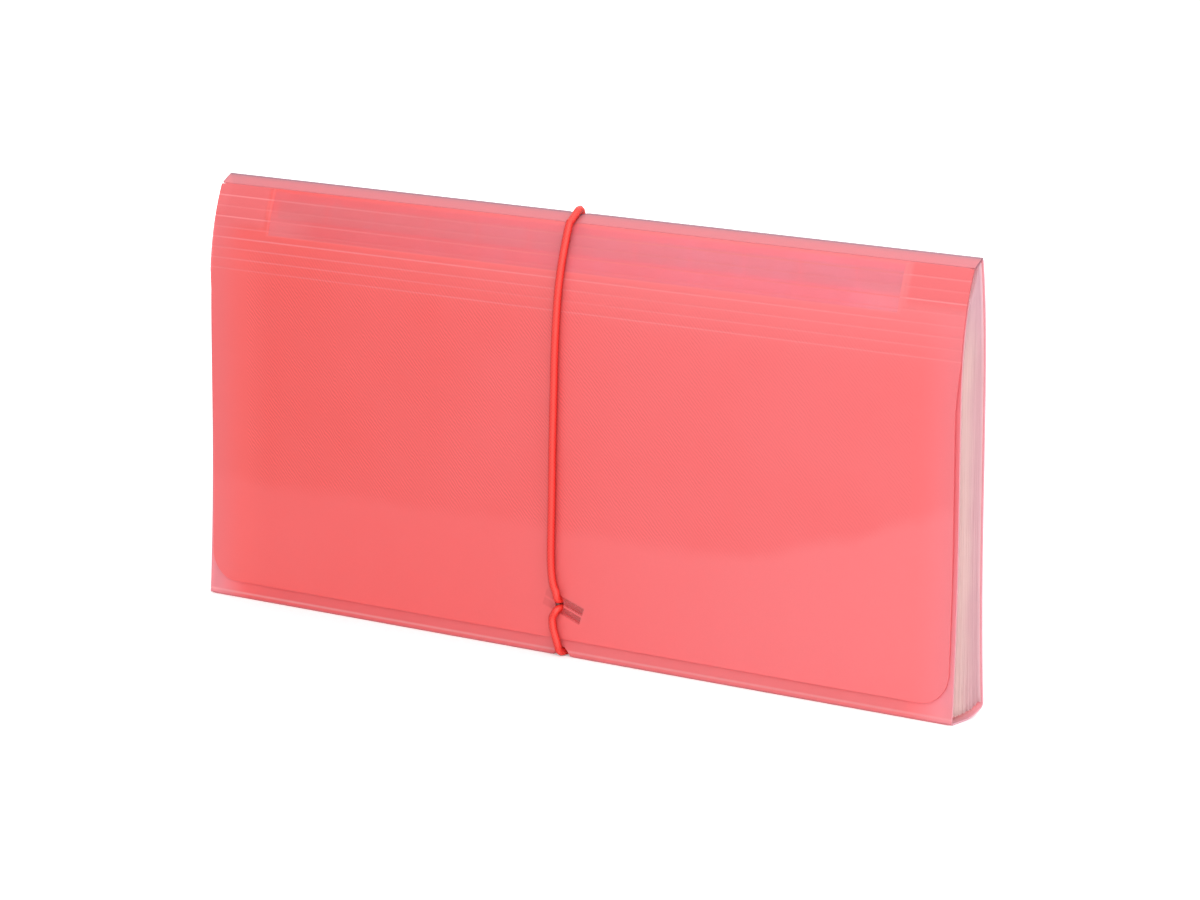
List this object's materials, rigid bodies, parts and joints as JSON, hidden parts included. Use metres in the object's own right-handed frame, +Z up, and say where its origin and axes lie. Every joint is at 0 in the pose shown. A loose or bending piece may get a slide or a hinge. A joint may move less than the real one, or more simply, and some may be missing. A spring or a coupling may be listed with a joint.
{
  "type": "expanding coupon organizer wallet",
  "caption": "Slim expanding file wallet with a creased flap, pleated side gussets, tabbed divider pockets and an elastic cord closure.",
  "frame": {"origin": "centre of the footprint, on the floor under the standing wallet", "axes": "+X along the wallet's length to the right as seen from the flap side, +Y from the flap to the back cover, +Z up to the top edge"},
  "size_m": [0.2668, 0.0208, 0.1293],
  "materials": {
    "cover_sheet": "frosted translucent polypropylene with a fine twill grain",
    "divider_sheet": "thin frosted translucent sheet",
    "gusset_sheet": "very thin pleated frosted film",
    "tab_film": "clear flexible film sleeve",
    "label_card": "blank white card insert",
    "cord": "braided round elastic cord",
    "barb_metal": "plain crimped metal barb"
  },
  "bodies": {
    "wallet": {"back_cover": "cover_sheet", "bottom_panel": "cover_sheet", "gusset_left": "gusset_sheet", "gusset_right": "gusset_sheet"},
    "strip": {"top_strip": "cover_sheet"},
    "flap": {"flap": "cover_sheet", "elastic_cord": "cord", "barb_upper": "barb_metal", "barb_lower": "barb_metal"},
    "front": {"front_cover": "cover_sheet"},
    "divider_01": {"divider_01": "divider_sheet", "tab_01": "tab_film", "label_01": "label_card"},
    "divider_02": {"divider_02": "divider_sheet", "tab_02": "tab_film", "label_02": "label_card"},
    "divider_03": {"divider_03": "divider_sheet", "tab_03": "tab_film", "label_03": "label_card"},
    "divider_04": {"divider_04": "divider_sheet", "tab_04": "tab_film", "label_04": "label_card"},
    "divider_05": {"divider_05": "divider_sheet", "tab_05": "tab_film", "label_05": "label_card"},
    "divider_06": {"divider_06": "divider_sheet", "tab_06": "tab_film", "label_06": "label_card"},
    "divider_07": {"divider_07": "divider_sheet", "tab_07": "tab_film", "label_07": "label_card"},
    "divider_08": {"divider_08": "divider_sheet", "tab_08": "tab_film", "label_08": "label_card"},
    "divider_09": {"divider_09": "divider_sheet", "tab_09": "tab_film", "label_09": "label_card"},
    "divider_10": {"divider_10": "divider_sheet", "tab_10": "tab_film", "label_10": "label_card"},
    "divider_11": {"divider_11": "divider_sheet", "tab_11": "tab_film", "label_11": "label_card"},
    "divider_12": {"divider_12": "divider_sheet", "tab_12": "tab_film", "label_12": "label_card"}
  },
  "joints": [
    {"name": "top_crease", "type": "hinge", "parent": "wallet", "child": "strip", "pos_m": [0, 0.00392, 0.12675], "axis": [-1, 0, 0], "range_deg": [0, 200], "deforming": ["elastic_cord"]},
    {"name": "flap_crease", "type": "hinge", "parent": "strip", "child": "flap", "pos_m": [0, -0.00018, 0.12415], "axis": [-1, 0, 0], "range_deg": [0, 100]},
    {"name": "front_fold", "type": "hinge", "parent": "wallet", "child": "front", "pos_m": [0, -0.00753, 0.00025], "axis": [1, 0, 0], "range_deg": [0, 21], "deforming": ["gusset_left", "gusset_right"]},
    {"name": "divider_fold_01", "type": "hinge", "parent": "wallet", "child": "divider_01", "pos_m": [0, -0.00477, 0.0034], "axis": [1, 0, 0], "range_deg": [0, 20.66]},
    {"name": "divider_fold_02", "type": "hinge", "parent": "wallet", "child": "divider_02", "pos_m": [0, -0.00374, 0.0034], "axis": [1, 0, 0], "range_deg": [0, 19.67]},
    {"name": "divider_fold_03", "type": "hinge", "parent": "wallet", "child": "divider_03", "pos_m": [0, -0.0027, 0.0034], "axis": [1, 0, 0], "range_deg": [0, 18.17]},
    {"name": "divider_fold_04", "type": "hinge", "parent": "wallet", "child": "divider_04", "pos_m": [0, -0.00167, 0.0034], "axis": [1, 0, 0], "range_deg": [0, 16.27]},
    {"name": "divider_fold_05", "type": "hinge", "parent": "wallet", "child": "divider_05", "pos_m": [0, -0.00064, 0.0034], "axis": [1, 0, 0], "range_deg": [0, 14.08]},
    {"name": "divider_fold_06", "type": "hinge", "parent": "wallet", "child": "divider_06", "pos_m": [0, 0.00039, 0.0034], "axis": [1, 0, 0], "range_deg": [0, 11.72]},
    {"name": "divider_fold_07", "type": "hinge", "parent": "wallet", "child": "divider_07", "pos_m": [0, 0.00142, 0.0034], "axis": [1, 0, 0], "range_deg": [0, 9.3]},
    {"name": "divider_fold_08", "type": "hinge", "parent": "wallet", "child": "divider_08", "pos_m": [0, 0.00245, 0.0034], "axis": [1, 0, 0], "range_deg": [0, 6.94]},
    {"name": "divider_fold_09", "type": "hinge", "parent": "wallet", "child": "divider_09", "pos_m": [0, 0.00348, 0.0034], "axis": [1, 0, 0], "range_deg": [0, 4.75]},
    {"name": "divider_fold_10", "type": "hinge", "parent": "wallet", "child": "divider_10", "pos_m": [0, 0.00451, 0.0034], "axis": [1, 0, 0], "range_deg": [0, 2.85]},
    {"name": "divider_fold_11", "type": "hinge", "parent": "wallet", "child": "divider_11", "pos_m": [0, 0.00554, 0.0034], "axis": [1, 0, 0], "range_deg": [0, 1.35]},
    {"name": "divider_fold_12", "type": "hinge", "parent": "wallet", "child": "divider_12", "pos_m": [0, 0.00658, 0.0034], "axis": [1, 0, 0], "range_deg": [0, 0.36]}
  ],
  "couplings": [
    {"joint": "flap_crease", "follows": "top_crease", "ratio": 0.5},
    {"joint": "front_fold", "follows": "top_crease", "ratio": 0.105},
    {"joint": "divider_fold_01", "follows": "top_crease", "ratio": 0.10323},
    {"joint": "divider_fold_02", "follows": "top_crease", "ratio": 0.09831},
    {"joint": "divider_fold_03", "follows": "top_crease", "ratio": 0.09081},
    {"joint": "divider_fold_04", "follows": "top_crease", "ratio": 0.08129},
    {"joint": "divider_fold_05", "follows": "top_crease", "ratio": 0.07035},
    {"joint": "divider_fold_06", "follows": "top_crease", "ratio": 0.05855},
    {"joint": "divider_fold_07", "follows": "top_crease", "ratio": 0.04645},
    {"joint": "divider_fold_08", "follows": "top_crease", "ratio": 0.03465},
    {"joint": "divider_fold_09", "follows": "top_crease", "ratio": 0.02371},
    {"joint": "divider_fold_10", "follows": "top_crease", "ratio": 0.01419},
    {"joint": "divider_fold_11", "follows": "top_crease", "ratio": 0.00669},
    {"joint": "divider_fold_12", "follows": "top_crease", "ratio": 0.00177}
  ]
}
